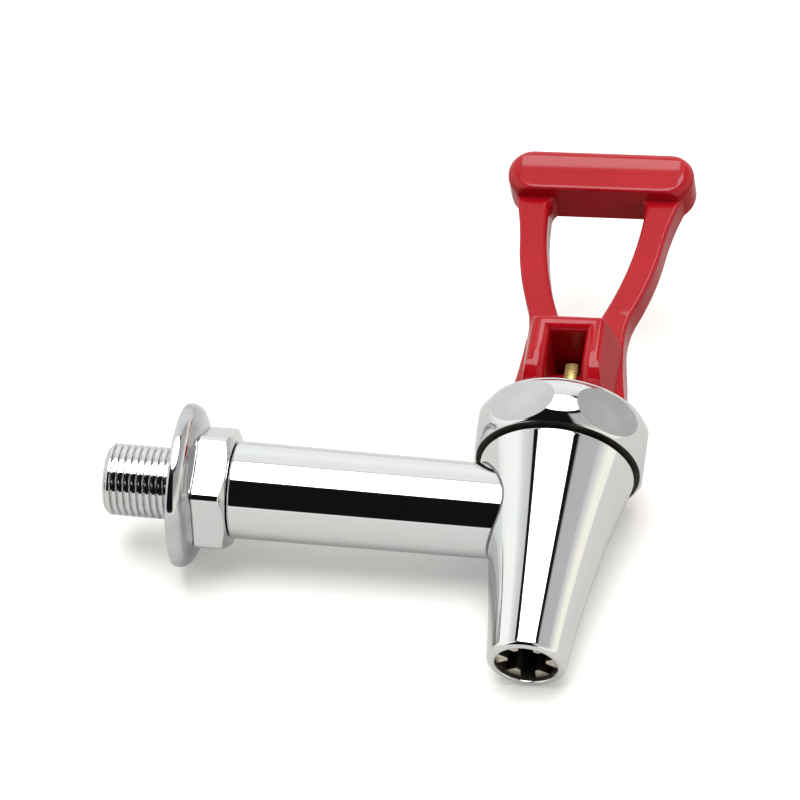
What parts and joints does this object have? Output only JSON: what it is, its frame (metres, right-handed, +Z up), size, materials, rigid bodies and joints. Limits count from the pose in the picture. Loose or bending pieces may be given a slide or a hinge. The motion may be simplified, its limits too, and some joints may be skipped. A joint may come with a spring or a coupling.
{
  "type": "urn tap",
  "caption": "Self-closing urn tap: threaded shank with flange washer and lock nut, straight barrel, conical outlet, bulged bonnet and a D-shaped tilting grip.",
  "frame": {"origin": "where the shank's axis meets the outer face of the wall that the flange washer seats on", "axes": "+X from the tank out along the shank and barrel, +Z up along the stem, the handle's window faces -Y"},
  "size_m": [0.1204, 0.0406, 0.135],
  "materials": {
    "chrome_body": "bright chrome plating on cast brass",
    "chrome_fitting": "chrome plating on turned brass",
    "handle_red": "glossy moulded plastic, red",
    "brass_stem": "turned brass, machined finish",
    "steel_inner": "bare stainless steel",
    "seal_white": "milky silicone rubber",
    "seal_black": "black nitrile rubber"
  },
  "bodies": {
    "tap": {"tap_body": "chrome_body", "flange_washer": "chrome_fitting", "wall_gasket": "seal_white", "lock_nut": "chrome_fitting", "bonnet": "chrome_fitting", "bonnet_seal": "seal_black", "stem_ring": "seal_black"},
    "swivel": {"spring_washer": "steel_inner", "return_spring": "steel_inner"},
    "stem": {"stem": "brass_stem", "valve_plug": "seal_white", "plug_nut": "brass_stem"},
    "handle": {"handle": "handle_red", "handle_pin": "steel_inner"}
  },
  "joints": [
    {"name": "handle_swivel", "type": "hinge", "parent": "tap", "child": "swivel", "pos_m": [0.0823, 0, 0.02464], "axis": [0, 0, 1], "continuous": true},
    {"name": "stem_lift", "type": "slide", "parent": "swivel", "child": "stem", "axis": [0, 0, 1], "range_m": [0, 0.0031], "deforming": ["return_spring"]},
    {"name": "handle_tilt", "type": "hinge", "parent": "stem", "child": "handle", "pos_m": [0.0823, 0, 0.03484], "axis": [0.9979, -0.0645, 0], "range_deg": [0, 45], "stiffness_Nm_per_rad": 0.0114, "springref_deg": -59.01}
  ],
  "couplings": [
    {"joint": "stem_lift", "follows": "handle_tilt", "m_per_rad": 0.0039}
  ]
}
